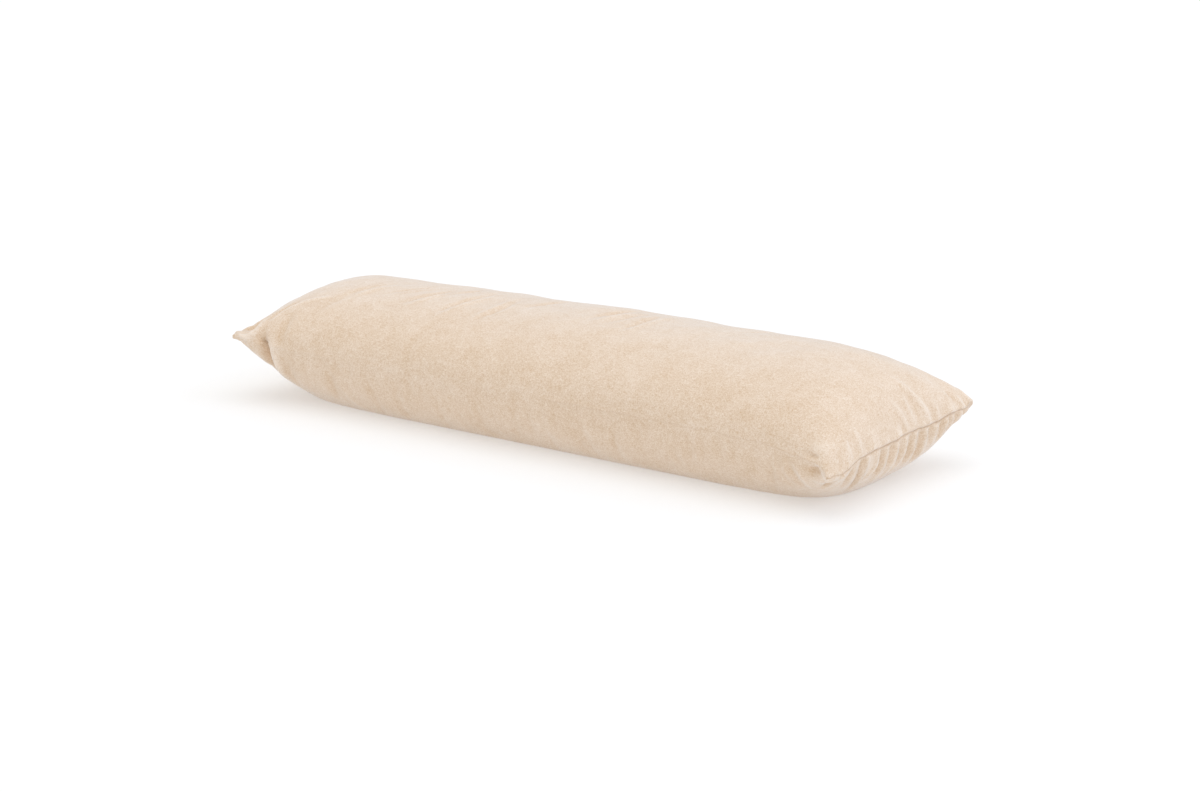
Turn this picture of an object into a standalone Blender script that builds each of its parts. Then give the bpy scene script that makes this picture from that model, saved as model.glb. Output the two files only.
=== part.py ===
"""A long support pillow: one filled cloth solid that lies on a flat surface.

Two cloth panels are seamed all round and filled, so the body has a high crown, sides that draw in
between the corners, a thin ear at each corner and puckers that run away from the end seams.
Metres, +Z up. +X runs along the length and the closure seam is the end at +X. The origin is the
bottom centre of the box round the pillow.
"""

import math

import bmesh
import bpy
import numpy as np

NODE_NAME = "pillow"

# The four corners where the seams meet: how far along, how far across, how high.
CORNERS = {
    "front_left": (-0.665, -0.233, 0.123),
    "front_right": (0.655, -0.258, 0.074),
    "back_left": (-0.660, 0.219, 0.100),
    "back_right": (0.665, 0.221, 0.107),
}

# How far the seams draw in between the corners, and how quickly they flare out to a corner.
SIDE_DRAW_IN = 0.035
END_DRAW_IN = {"left": 0.014, "right": 0.007}
SIDE_FLARE_POWER = 9.7
END_FLARE_POWER = 4.0

# How far each corner is rounded off, and how far from the corner that reaches.
CORNER_ROUNDING = {
    "front_left": 0.020,
    "front_right": 0.009,
    "back_left": 0.014,
    "back_right": 0.012,
}
CORNER_ROUNDING_REACH = 0.032

# The seam's height above the surface, along the sides and at the middle of each end.
SIDE_SEAM_HEIGHT = 0.108
END_SEAM_HEIGHT = {"left": 0.110, "right": 0.096}
SEAM_RISE_POWER = 9.0
SEAM_CORNER_POWER = 2.5

# The crown's height at shares of the half length, from the left end to the right.
CROWN_STATIONS = (-0.90, -0.62, -0.30, 0.10, 0.55, 0.90)
CROWN_HEIGHTS = (0.223, 0.210, 0.213, 0.2185, 0.2185, 0.2195)

# Each profile is (1 - share ** boxy) ** (1 / round), where 2 and 2 is an ellipse.
END_PROFILE = {"left": (6.5, 1.9), "right": (9.1, 1.5)}
TOP_PROFILE = (2.18, 1.9)
UNDER_PROFILE = (2.44, 1.75)
# The underside's profile is deeper than the seam's height, and the surface below cuts it flat.
UNDER_DEPTH_SHARE = 1.37

# How thin each corner is pressed and how far that reaches from the corner.
EAR_THINNING = {
    "front_left": (0.62, 0.081),
    "front_right": (-0.35, 0.050),
    "back_left": (0.45, 0.080),
    "back_right": (0.15, 0.080),
}

# The seam is drawn into a shallow groove between two rolls of cloth.
SIDE_GROOVE_DEPTH = 0.0012
END_GROOVE_DEPTH = 0.0030
GROOVE_WIDTH = 0.0070
GROOVE_CORNER_POWER = 4.0

# The mesh: cells along and across each panel, and how much closer they sit near the ends.
CELLS_ALONG = 60
CELLS_ACROSS = 46
END_CROWDING = 0.4

# Half of each panel's cut size, which the folds below are placed by.
HALF_CUT_LENGTH = 0.685
HALF_CUT_WIDTH = 0.255

# Folds die out over this height above the surface, so the patch that the pillow lies on is flat.
FLAT_BELOW = 0.012

# Puckers run in from an end seam: how far across the end, how deep, and how far each reaches.
PUCKER_WIDTH = 0.010
RIGHT_END_PUCKERS = (
    # across, depth, reach over the top, reach underneath
    (-0.222, 0.0030, 0.040, 0.050),
    (-0.190, 0.0042, 0.060, 0.085),
    (-0.160, 0.0030, 0.045, 0.070),
    (-0.125, 0.0040, 0.070, 0.090),
    (-0.092, 0.0032, 0.050, 0.075),
    (-0.060, 0.0042, 0.080, 0.090),
    (-0.026, 0.0030, 0.055, 0.070),
    (0.006, 0.0038, 0.090, 0.085),
    (0.040, 0.0032, 0.060, 0.080),
    (0.073, 0.0044, 0.105, 0.090),
    (0.108, 0.0032, 0.070, 0.070),
    (0.140, 0.0040, 0.090, 0.085),
    (0.173, 0.0034, 0.065, 0.065),
    (0.207, 0.0030, 0.045, 0.045),
)
LEFT_END_PUCKERS = (
    (-0.205, 0.0036, 0.050, 0.050),
    (-0.160, 0.0028, 0.080, 0.070),
    (-0.112, 0.0038, 0.065, 0.080),
    (-0.066, 0.0026, 0.090, 0.070),
    (-0.015, 0.0036, 0.070, 0.085),
    (0.034, 0.0028, 0.055, 0.070),
    (0.081, 0.0040, 0.085, 0.080),
    (0.127, 0.0026, 0.065, 0.065),
    (0.170, 0.0034, 0.075, 0.060),
    (0.212, 0.0024, 0.050, 0.045),
)

# Single folds on one panel, in the flat cloth's own sizes. A negative depth is a ridge.
FOLDS = (
    # panel, start along, start across, end along, end across, width, depth
    ("top", -0.615, -0.252, -0.591, -0.215, 0.011, -0.0040),
    ("top", -0.591, -0.215, -0.582, -0.150, 0.013, -0.0045),
    ("top", -0.645, -0.205, -0.625, -0.140, 0.018, 0.0050),
    ("top", -0.562, -0.255, -0.566, -0.222, 0.011, 0.0085),
    ("under", -0.562, -0.255, -0.583, -0.165, 0.012, 0.0115),
    ("top", -0.546, -0.180, -0.552, -0.230, 0.013, 0.0035),
    ("top", 0.596, -0.248, 0.616, -0.225, 0.012, 0.0060),
    ("under", 0.604, -0.250, 0.624, -0.232, 0.012, 0.0060),
    ("top", -0.560, 0.100, -0.440, 0.200, 0.018, 0.0035),
    ("top", -0.470, 0.070, -0.340, 0.185, 0.018, 0.0030),
    ("top", 0.540, 0.130, 0.650, 0.212, 0.016, 0.0035),
    ("top", -0.238, -0.250, -0.242, -0.200, 0.022, 0.0035),
    ("top", -0.242, -0.200, -0.205, -0.135, 0.022, 0.0030),
    ("under", -0.238, -0.250, -0.252, -0.185, 0.022, 0.0035),
    ("under", -0.400, -0.248, -0.376, -0.185, 0.020, 0.0036),
    ("under", -0.500, -0.245, -0.476, -0.180, 0.020, 0.0038),
    ("under", -0.110, -0.248, -0.086, -0.190, 0.020, 0.0030),
    ("under", 0.350, -0.248, 0.382, -0.185, 0.020, 0.0034),
    ("under", 0.490, -0.248, 0.520, -0.180, 0.018, 0.0044),
    ("under", -0.300, 0.245, -0.262, 0.180, 0.020, 0.0036),
    ("under", 0.060, 0.248, 0.090, 0.185, 0.020, 0.0032),
    ("under", 0.400, 0.246, 0.430, 0.180, 0.020, 0.0038),
)

CLOTH_COLOUR = (0.79, 0.64, 0.49, 1.0)
CLOTH_ROUGHNESS = 0.95

WELD_DISTANCE = 0.00002
NORMAL_STEP = 0.004


def clear_scene():
    for thing in list(bpy.data.objects):
        bpy.data.objects.remove(thing, do_unlink=True)


def rounded(share, profile):
    """The height of a profile at a share of its half width, from 1 in the middle to 0 at the seam."""
    boxy, roundness = profile
    return np.maximum(0.0, 1.0 - np.abs(share) ** boxy) ** (1.0 / roundness)


def by_end(along, values):
    """The left end's value where along is negative and the right end's elsewhere."""
    return np.where(along < 0, values["left"], values["right"])


def across_corners(along, across, axis):
    """One coordinate of the corners, spread evenly over the panel between them."""
    right = (1 + along) / 2
    back = (1 + across) / 2
    front_edge = (1 - right) * CORNERS["front_left"][axis] + right * CORNERS["front_right"][axis]
    back_edge = (1 - right) * CORNERS["back_left"][axis] + right * CORNERS["back_right"][axis]
    return (1 - back) * front_edge + back * back_edge


def crown_height(along):
    """The crown's height along the pillow, eased from each station to the next."""
    stations = np.array(CROWN_STATIONS)
    step = np.clip(np.searchsorted(stations, along) - 1, 0, len(stations) - 2)
    share = np.clip((along - stations[step]) / (stations[step + 1] - stations[step]), 0, 1)
    eased = share * share * (3 - 2 * share)
    heights = np.array(CROWN_HEIGHTS)
    return heights[step] + (heights[step + 1] - heights[step]) * eased


def seam_height(along, across):
    """How high the plane of the seam lies: level along the sides, and off to each corner's height."""
    to_end = np.abs(along) ** SEAM_RISE_POWER
    to_side = np.abs(across) ** SEAM_CORNER_POWER
    corner = across_corners(along, across, 2)
    end = by_end(along, END_SEAM_HEIGHT) * (1 - to_side) + corner * to_side
    return (1 - to_end) * SIDE_SEAM_HEIGHT + to_end * end


def plan(along, across):
    """Where a share of the panel lies in plan, with the sides and ends drawn in."""
    x = across_corners(along, across, 0)
    y = across_corners(along, across, 1)
    end_pull = by_end(along, END_DRAW_IN) * (1 - across**2) * np.abs(along) ** END_FLARE_POWER
    side_pull = SIDE_DRAW_IN * (1 - np.abs(along) ** SIDE_FLARE_POWER)
    x = x - np.sign(along) * end_pull
    y = y - across * side_pull
    rounding = corner_rounding(x, y)
    return x - np.sign(along) * rounding, y - np.sign(across) * rounding


def corner_rounding(x, y):
    """How far a place in plan moves in along each axis so that the corners are blunt."""
    rounding = np.zeros_like(x)
    for name, most in CORNER_ROUNDING.items():
        corner_x, corner_y, _ = CORNERS[name]
        away = ((x - corner_x) ** 2 + (y - corner_y) ** 2) / CORNER_ROUNDING_REACH**2
        rounding = rounding + most / math.sqrt(2) * np.exp(-away)
    return rounding


def ear_thinness(x, y):
    """The share of its fullness that the pillow keeps, less than 1 near a pressed corner."""
    kept = np.ones_like(x)
    for name, (thinning, reach) in EAR_THINNING.items():
        corner_x, corner_y, _ = CORNERS[name]
        away = ((x - corner_x) ** 2 + (y - corner_y) ** 2) / reach**2
        kept = kept * (1 - thinning * np.exp(-away))
    return kept


def smooth_panel(panel, along, across):
    """The panel's points before folds, for shares of the half length and the half width."""
    x, y = plan(along, across)
    seam = seam_height(along, across)
    lengthwise = np.where(
        along < 0, rounded(along, END_PROFILE["left"]), rounded(along, END_PROFILE["right"])
    )
    fullness = lengthwise * ear_thinness(x, y)
    if panel == "top":
        z = seam + (crown_height(along) - seam) * fullness * rounded(across, TOP_PROFILE)
    else:
        depth = UNDER_DEPTH_SHARE * fullness * rounded(across, UNDER_PROFILE)
        z = seam - seam * np.minimum(1.0, depth)
    return np.stack([x, y, z], axis=-1)


def fold_depth(panel, cut_along, cut_across):
    """How deep the single folds press into a panel at places on its flat cloth."""
    depth = np.zeros_like(cut_along)
    for where, along_0, across_0, along_1, across_1, width, deepest in FOLDS:
        if where != panel:
            continue
        run = np.array([along_1 - along_0, across_1 - across_0])
        length = math.hypot(*run)
        share = ((cut_along - along_0) * run[0] + (cut_across - across_0) * run[1]) / length**2
        aside = ((cut_along - along_0) * run[1] - (cut_across - across_0) * run[0]) / length
        beyond = (share - np.clip(share, 0.15, 0.85)) * length
        depth += deepest * np.exp(-((aside / width) ** 2) - (beyond / width) ** 2)
    return depth


def pucker_depth(panel, cut_along, cut_across):
    """How deep the puckers press in, which is most a little way in from an end seam."""
    depth = np.zeros_like(cut_along)
    for end, puckers in ((-1, LEFT_END_PUCKERS), (1, RIGHT_END_PUCKERS)):
        inward = HALF_CUT_LENGTH - end * cut_along
        for across, deepest, top_reach, under_reach in puckers:
            reach = top_reach if panel == "top" else under_reach
            fade = np.exp(-((inward / reach) ** 2)) * (1 - 0.5 * np.exp(-inward / GROOVE_WIDTH))
            aside = (cut_across - across) / PUCKER_WIDTH
            depth += deepest * fade * np.exp(-(aside**2))
    return depth


def folded_panel(panel, along, across, cut_along, cut_across):
    """The panel's points with its folds pressed in along the panel's own normals."""
    points = smooth_panel(panel, along, across)
    inside = 1 - NORMAL_STEP
    near_along = np.clip(along, -inside, inside)
    near_across = np.clip(across, -inside, inside)
    run = smooth_panel(panel, near_along + NORMAL_STEP, near_across) - smooth_panel(
        panel, near_along - NORMAL_STEP, near_across
    )
    rise = smooth_panel(panel, near_along, near_across + NORMAL_STEP) - smooth_panel(
        panel, near_along, near_across - NORMAL_STEP
    )
    outward = np.cross(run, rise)
    outward /= np.linalg.norm(outward, axis=-1, keepdims=True)
    if panel == "under":
        outward = -outward
    depth = fold_depth(panel, cut_along, cut_across) + pucker_depth(panel, cut_along, cut_across)
    depth = depth * np.clip(points[..., 2] / FLAT_BELOW, 0.0, 1.0)
    points = points - outward * depth[..., None]
    points[..., 2] = np.maximum(points[..., 2], 0.0)
    return points


def even_shares(profile_points, places):
    """Shares of a half width that lie at the given places along a profile's own length."""
    fine = np.sin(np.linspace(-math.pi / 2, math.pi / 2, 2001))
    flat, height = profile_points(fine)
    steps = np.hypot(np.diff(flat), np.diff(height))
    walked = np.concatenate([[0.0], np.cumsum(steps)])
    return np.interp((np.asarray(places) + 1) / 2 * walked[-1], walked, fine)


def lengthwise_profile(share):
    half_length = CORNERS["back_right"][0]
    height = SIDE_SEAM_HEIGHT * np.where(
        share < 0, rounded(share, END_PROFILE["left"]), rounded(share, END_PROFILE["right"])
    )
    return half_length * share, height


def crosswise_profile(share):
    half_width = CORNERS["back_right"][1] - SIDE_DRAW_IN / 2
    return half_width * share, SIDE_SEAM_HEIGHT * rounded(share, TOP_PROFILE)


def grid_places(cells, half_cut, crowding):
    """Places from -1 to 1 for the grid's lines, closer near the ends, with a line beside each seam."""
    beside_seam = 1 - GROOVE_WIDTH / half_cut
    even = np.linspace(-1, 1, cells - 1)
    crowded = (1 - crowding) * even + crowding * np.sin(even * math.pi / 2)
    return np.concatenate([[-1.0], crowded * beside_seam, [1.0]])


def panel_bmesh(panel):
    """One panel as a grid, its points moved to where the filled cloth lies."""
    mesh = bmesh.new()
    bmesh.ops.create_grid(mesh, x_segments=CELLS_ALONG, y_segments=CELLS_ACROSS, size=1.0)
    mesh.verts.ensure_lookup_table()
    flat = np.array([vert.co[:2] for vert in mesh.verts])
    column = np.rint((flat[:, 0] + 1) / 2 * CELLS_ALONG).astype(int)
    row = np.rint((flat[:, 1] + 1) / 2 * CELLS_ACROSS).astype(int)
    places_along = grid_places(CELLS_ALONG, HALF_CUT_LENGTH, END_CROWDING)
    places_across = grid_places(CELLS_ACROSS, HALF_CUT_WIDTH, 0.0)
    along = even_shares(lengthwise_profile, places_along)[column]
    across = even_shares(crosswise_profile, places_across)[row]
    cut_along = places_along[column] * HALF_CUT_LENGTH
    cut_across = places_across[row] * HALF_CUT_WIDTH
    points = folded_panel(panel, along, across, cut_along, cut_across)

    on_seam = (column == 0) | (column == CELLS_ALONG) | (row == 0) | (row == CELLS_ACROSS)
    points[on_seam] = seam_points(along[on_seam], across[on_seam])
    for vert, point in zip(mesh.verts, points):
        vert.co = point
    if panel == "under":
        bmesh.ops.reverse_faces(mesh, faces=mesh.faces)
    return mesh


def seam_points(along, across):
    """The seam itself, drawn in by the groove except at the corners, which stay out."""
    x, y = plan(along, across)
    from_corner = 1 - np.minimum(np.abs(along), np.abs(across)) ** GROOVE_CORNER_POWER
    on_end = np.abs(along) > np.abs(across)
    inward_x = np.where(on_end, -np.sign(along) * END_GROOVE_DEPTH, 0.0) * from_corner
    inward_y = np.where(on_end, 0.0, -np.sign(across) * SIDE_GROOVE_DEPTH) * from_corner
    return np.stack([x + inward_x, y + inward_y, seam_height(along, across)], axis=-1)


def cloth_material():
    material = bpy.data.materials.new("brushed_beige_cloth")
    material.use_nodes = True
    shader = material.node_tree.nodes["Principled BSDF"]
    shader.inputs["Base Color"].default_value = CLOTH_COLOUR
    shader.inputs["Roughness"].default_value = CLOTH_ROUGHNESS
    shader.inputs["Metallic"].default_value = 0.0
    return material


def sewn_pillow():
    """Both panels welded along the seam into one closed body, centred over the origin."""
    body = panel_bmesh("top")
    under = panel_bmesh("under")
    under_mesh = bpy.data.meshes.new("under_panel")
    under.to_mesh(under_mesh)
    under.free()
    body.from_mesh(under_mesh)
    bpy.data.meshes.remove(under_mesh)
    bmesh.ops.remove_doubles(body, verts=body.verts, dist=WELD_DISTANCE)
    points = np.array([vert.co for vert in body.verts])
    middle = (points.min(axis=0) + points.max(axis=0)) / 2
    bmesh.ops.translate(body, verts=body.verts, vec=(-middle[0], -middle[1], 0.0))
    mesh = bpy.data.meshes.new(NODE_NAME)
    body.to_mesh(mesh)
    body.free()
    mesh.shade_smooth()
    return mesh


def main():
    clear_scene()
    collection = bpy.data.collections.new("long_support_pillow")
    bpy.context.scene.collection.children.link(collection)
    pillow = bpy.data.objects.new(NODE_NAME, sewn_pillow())
    pillow.data.materials.append(cloth_material())
    collection.objects.link(pillow)


main()
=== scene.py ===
import logging
import math
from dataclasses import dataclass
from enum import Enum
from typing import Iterable, Mapping, Optional, Sequence, Union

import bmesh
import bpy
import numpy as np
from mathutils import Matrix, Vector


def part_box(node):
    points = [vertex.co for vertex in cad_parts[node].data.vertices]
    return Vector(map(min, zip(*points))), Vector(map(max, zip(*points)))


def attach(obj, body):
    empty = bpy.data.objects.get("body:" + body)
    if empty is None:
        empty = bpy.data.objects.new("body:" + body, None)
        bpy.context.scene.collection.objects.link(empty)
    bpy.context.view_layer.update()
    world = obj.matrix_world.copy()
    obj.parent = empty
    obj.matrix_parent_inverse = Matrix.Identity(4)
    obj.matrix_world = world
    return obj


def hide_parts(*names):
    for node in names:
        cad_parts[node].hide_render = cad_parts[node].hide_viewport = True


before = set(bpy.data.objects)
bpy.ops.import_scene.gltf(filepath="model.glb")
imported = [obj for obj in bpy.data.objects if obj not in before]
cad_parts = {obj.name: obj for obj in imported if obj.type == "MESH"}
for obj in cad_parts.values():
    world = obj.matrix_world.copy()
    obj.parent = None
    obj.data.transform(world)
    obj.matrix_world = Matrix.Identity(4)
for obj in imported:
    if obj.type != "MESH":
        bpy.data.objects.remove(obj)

log = logging.getLogger("long_support_pillow")

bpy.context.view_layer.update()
PILLOW_NODE = "pillow"

CUT_PLACE = "cut_place"
SEAM_SHADE = "seam_shade"
# The folds' painted shading: painted shade in their troughs, painted highlight and rubbed nap on their
# ridges.
FOLD_SHADE_AND_WEAR = "fold_shade_and_wear"

Array = np.ndarray
Place = tuple[float, float]
Point = tuple[float, float, float]
Colour = tuple[float, float, float, float]


class Side(Enum):
    """The two cloth panels that are sewn together all round."""

    TOP = "top"
    UNDER = "under"

    @property
    def other(self) -> "Side":
        """The panel on the other side."""
        return Side.UNDER if self is Side.TOP else Side.TOP


class Edge(Enum):
    """The four seams round the panels: the axis that each ends, 0 along or 1 across, and on which side."""

    LEFT_END = (0, -1.0)
    RIGHT_END = (0, 1.0)
    FRONT = (1, -1.0)
    BACK = (1, 1.0)


# The pillow's form

@dataclass(frozen=True)
class Corner:
    """A corner of the sewn cover as it lies filled, in metres.

    Args:
        x, y, z: Where the seams meet.
        rounding: How far the corner is rounded off.
        thinning: The share of its fullness that the corner loses.
        reach: How far the thinning reaches from the corner.
    """

    x: float
    y: float
    z: float
    rounding: float
    thinning: float
    reach: float


@dataclass(frozen=True)
class Profile:
    """A cross-section's rise from 0 at the seam to 1 in the middle.

    It is (1 - share ** boxy) ** (1 / roundness), where 2 and 2 is an ellipse.
    """

    boxy: float
    roundness: float

    def height(self, share: Array) -> Array:
        """The rise at a share of the half width."""
        return np.maximum(0.0, 1.0 - np.abs(share) ** self.boxy) ** (1.0 / self.roundness)


@dataclass(frozen=True)
class PillowForm:
    """The filled pillow without its creases: the same sizes and formulas as the part's solid.

    Places on it are shares: along runs from -1 at the left end to 1 at the right, and across from
    -1 at the front seam to 1 at the back.

    Args:
        front_left, front_right, back_left, back_right: The corners.
        rounding_reach: How far from a corner its rounding goes.
        side_draw_in, left_draw_in, right_draw_in: How far the seams are drawn in half way along.
        side_flare, end_flare: How close to the corners they come out again.
        side_seam_height, left_seam_height, right_seam_height: The seams' heights half way along.
        seam_rise, seam_corner: How late the seam's plane takes the end's height, and the corner's.
        crown_stations, crown_heights: Shares of the half length, and the crown's height at each.
        left_profile, right_profile: How full the pillow stays towards each end.
        top_profile, under_profile: How full each panel stays towards the side seams.
        under_depth_share: How deep the under panel would hang if the floor didn't flatten it.
        half_cut: Half the length and half the width of the cut cloth.
        normal_step: The step, as a share, over which the surface's slope is taken.
        profile_steps: How many points the way round a profile is measured at.
    """

    front_left: Corner = Corner(-0.665, -0.233, 0.123, 0.020, 0.62, 0.081)
    front_right: Corner = Corner(0.655, -0.258, 0.074, 0.009, -0.35, 0.050)
    back_left: Corner = Corner(-0.660, 0.219, 0.100, 0.014, 0.45, 0.080)
    back_right: Corner = Corner(0.665, 0.221, 0.107, 0.012, 0.15, 0.080)
    rounding_reach: float = 0.032
    side_draw_in: float = 0.035
    left_draw_in: float = 0.014
    right_draw_in: float = 0.007
    side_flare: float = 9.7
    end_flare: float = 4.0
    side_seam_height: float = 0.108
    left_seam_height: float = 0.110
    right_seam_height: float = 0.096
    seam_rise: float = 9.0
    seam_corner: float = 2.5
    crown_stations: tuple[float, ...] = (-0.90, -0.62, -0.30, 0.10, 0.55, 0.90)
    crown_heights: tuple[float, ...] = (0.223, 0.210, 0.213, 0.2185, 0.2185, 0.2195)
    left_profile: Profile = Profile(6.5, 1.9)
    right_profile: Profile = Profile(9.1, 1.5)
    top_profile: Profile = Profile(2.18, 1.9)
    under_profile: Profile = Profile(2.44, 1.75)
    under_depth_share: float = 1.37
    half_cut: Place = (0.685, 0.255)
    normal_step: float = 0.004
    profile_steps: int = 2001

    @property
    def corners(self) -> tuple[Corner, ...]:
        """All four corners."""
        return (self.front_left, self.front_right, self.back_left, self.back_right)

    def between_corners(self, along: Array, across: Array, axis: str) -> Array:
        """One coordinate of the corners, spread evenly over the panel.

        Args:
            along, across: Shares of the half length and half width.
            axis: x, y or z.

        Returns:
            The coordinate at each place.
        """
        right = (1 + along) / 2
        back = (1 + across) / 2
        front_left, front_right, back_left, back_right = (getattr(c, axis) for c in self.corners)
        front_edge = (1 - right) * front_left + right * front_right
        back_edge = (1 - right) * back_left + right * back_right
        return (1 - back) * front_edge + back * back_edge

    def plan(self, along: Array, across: Array) -> tuple[Array, Array]:
        """Where a place lies in plan, with the seams drawn in between blunt corners.

        Args:
            along, across: Shares of the half length and half width.

        Returns:
            The x and the y of each place.
        """
        x = self.between_corners(along, across, "x")
        y = self.between_corners(along, across, "y")
        end_draw_in = np.where(along < 0, self.left_draw_in, self.right_draw_in)
        end_pull = end_draw_in * (1 - across**2) * np.abs(along) ** self.end_flare
        side_pull = self.side_draw_in * (1 - np.abs(along) ** self.side_flare)
        x = x - np.sign(along) * end_pull
        y = y - across * side_pull
        rounding = np.zeros_like(x)
        for corner in self.corners:
            away = ((x - corner.x) ** 2 + (y - corner.y) ** 2) / self.rounding_reach**2
            rounding = rounding + corner.rounding / math.sqrt(2) * np.exp(-away)
        return x - np.sign(along) * rounding, y - np.sign(across) * rounding

    def seam_height(self, along: Array, across: Array) -> Array:
        """How high the plane of the seam lies at each place.

        Args:
            along, across: Shares of the half length and half width.

        Returns:
            The heights, in metres.
        """
        to_end = np.abs(along) ** self.seam_rise
        to_side = np.abs(across) ** self.seam_corner
        middle = np.where(along < 0, self.left_seam_height, self.right_seam_height)
        end = middle * (1 - to_side) + self.between_corners(along, across, "z") * to_side
        return (1 - to_end) * self.side_seam_height + to_end * end

    def crown_height(self, along: Array) -> Array:
        """The crown's height along the pillow, eased from each station to the next.

        Args:
            along: Shares of the half length.

        Returns:
            The height at each, in metres.
        """
        stations = np.array(self.crown_stations)
        heights = np.array(self.crown_heights)
        step = np.clip(np.searchsorted(stations, along) - 1, 0, len(stations) - 2)
        share = np.clip((along - stations[step]) / (stations[step + 1] - stations[step]), 0, 1)
        eased = share * share * (3 - 2 * share)
        return heights[step] + (heights[step + 1] - heights[step]) * eased

    def fullness(self, along: Array, x: Array, y: Array) -> Array:
        """The share of the full thickness at each place, less near the ends and pressed corners.

        Args:
            along: Shares of the half length.
            x, y: The same places in plan.

        Returns:
            The shares, 1 where it is full.
        """
        kept = np.where(along < 0, self.left_profile.height(along), self.right_profile.height(along))
        for corner in self.corners:
            away = ((x - corner.x) ** 2 + (y - corner.y) ** 2) / corner.reach**2
            kept = kept * (1 - corner.thinning * np.exp(-away))
        return kept

    def points(self, side: Side, along: Array, across: Array) -> Array:
        """The smooth panel's points.

        Args:
            side: The panel.
            along, across: Shares of the half length and half width.

        Returns:
            An array of x, y and z for each place.
        """
        x, y = self.plan(along, across)
        seam = self.seam_height(along, across)
        fullness = self.fullness(along, x, y)
        if side is Side.TOP:
            z = seam + (self.crown_height(along) - seam) * fullness * self.top_profile.height(across)
        else:
            depth = self.under_depth_share * fullness * self.under_profile.height(across)
            z = seam - seam * np.minimum(1.0, depth)
        return np.stack([x, y, z], axis=-1)

    def outward(self, side: Side, along: Array, across: Array) -> Array:
        """The smooth panel's unit normals, pointing out of the pillow.

        Args:
            side: The panel.
            along, across: Shares of the half length and half width.

        Returns:
            The normal at each place.
        """
        step = self.normal_step
        near_along = np.clip(along, step - 1, 1 - step)
        near_across = np.clip(across, step - 1, 1 - step)
        run = self.points(side, near_along + step, near_across)
        run = run - self.points(side, near_along - step, near_across)
        rise = self.points(side, near_along, near_across + step)
        rise = rise - self.points(side, near_along, near_across - step)
        normals = np.cross(run, rise)
        normals /= np.linalg.norm(normals, axis=-1, keepdims=True)
        return normals if side is Side.TOP else -normals

    def shares_at(self, cut_along: Array, cut_across: Array) -> tuple[Array, Array]:
        """The shares that lie at places on the flat cloth, measured round each profile.

        Args:
            cut_along, cut_across: Metres from the middle of the cut panel.

        Returns:
            The along and the across shares.
        """
        fine = np.sin(np.linspace(-math.pi / 2, math.pi / 2, self.profile_steps))
        end_rise = np.where(fine < 0, self.left_profile.height(fine), self.right_profile.height(fine))
        half_width = self.back_right.y - self.side_draw_in / 2
        along = walk_shares(fine, self.back_right.x * fine, self.side_seam_height * end_rise,
                            cut_along / self.half_cut[0])
        across = walk_shares(fine, half_width * fine, self.side_seam_height * self.top_profile.height(fine),
                             cut_across / self.half_cut[1])
        return along, across


def walk_shares(shares: Array, flat: Array, height: Array, places: Array) -> Array:
    """Finds the shares that lie at given places along a profile's own length.

    Args:
        shares: The profile's shares, from -1 to 1.
        flat, height: The profile's two coordinates at those shares.
        places: Places along the profile's length, from -1 to 1.

    Returns:
        The share at each place.
    """
    steps = np.hypot(np.diff(flat), np.diff(height))
    walked = np.concatenate([[0.0], np.cumsum(steps)])
    return np.interp((places + 1) / 2 * walked[-1], walked, shares)


@dataclass
class Panel:
    """One panel's places, on the flat cloth and on the smooth pillow.

    Args:
        form: The pillow's form.
        side: The panel.
        cut: Each place on the flat cloth, as metres along and across from the panel's middle.
    """

    form: PillowForm
    side: Side
    cut: tuple[Array, Array]

    def __post_init__(self) -> None:
        """Works out the smooth points, and how far each place is from the nearest seam."""
        self.shares = self.form.shares_at(*self.cut)
        self.points = self.form.points(self.side, *self.shares)
        self.seam_height = self.form.seam_height(*self.shares)
        self.from_rim = np.minimum(*(half - np.abs(cut) for half, cut in zip(self.form.half_cut, self.cut)))


# Creases, puckers and lumps

def falloff(distance: Array, reach: Union[float, Array]) -> Array:
    """What is left at a distance from the middle of something soft: 1 in the middle, 0.37 at its reach."""
    return np.exp(-((distance / reach) ** 2))


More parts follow.
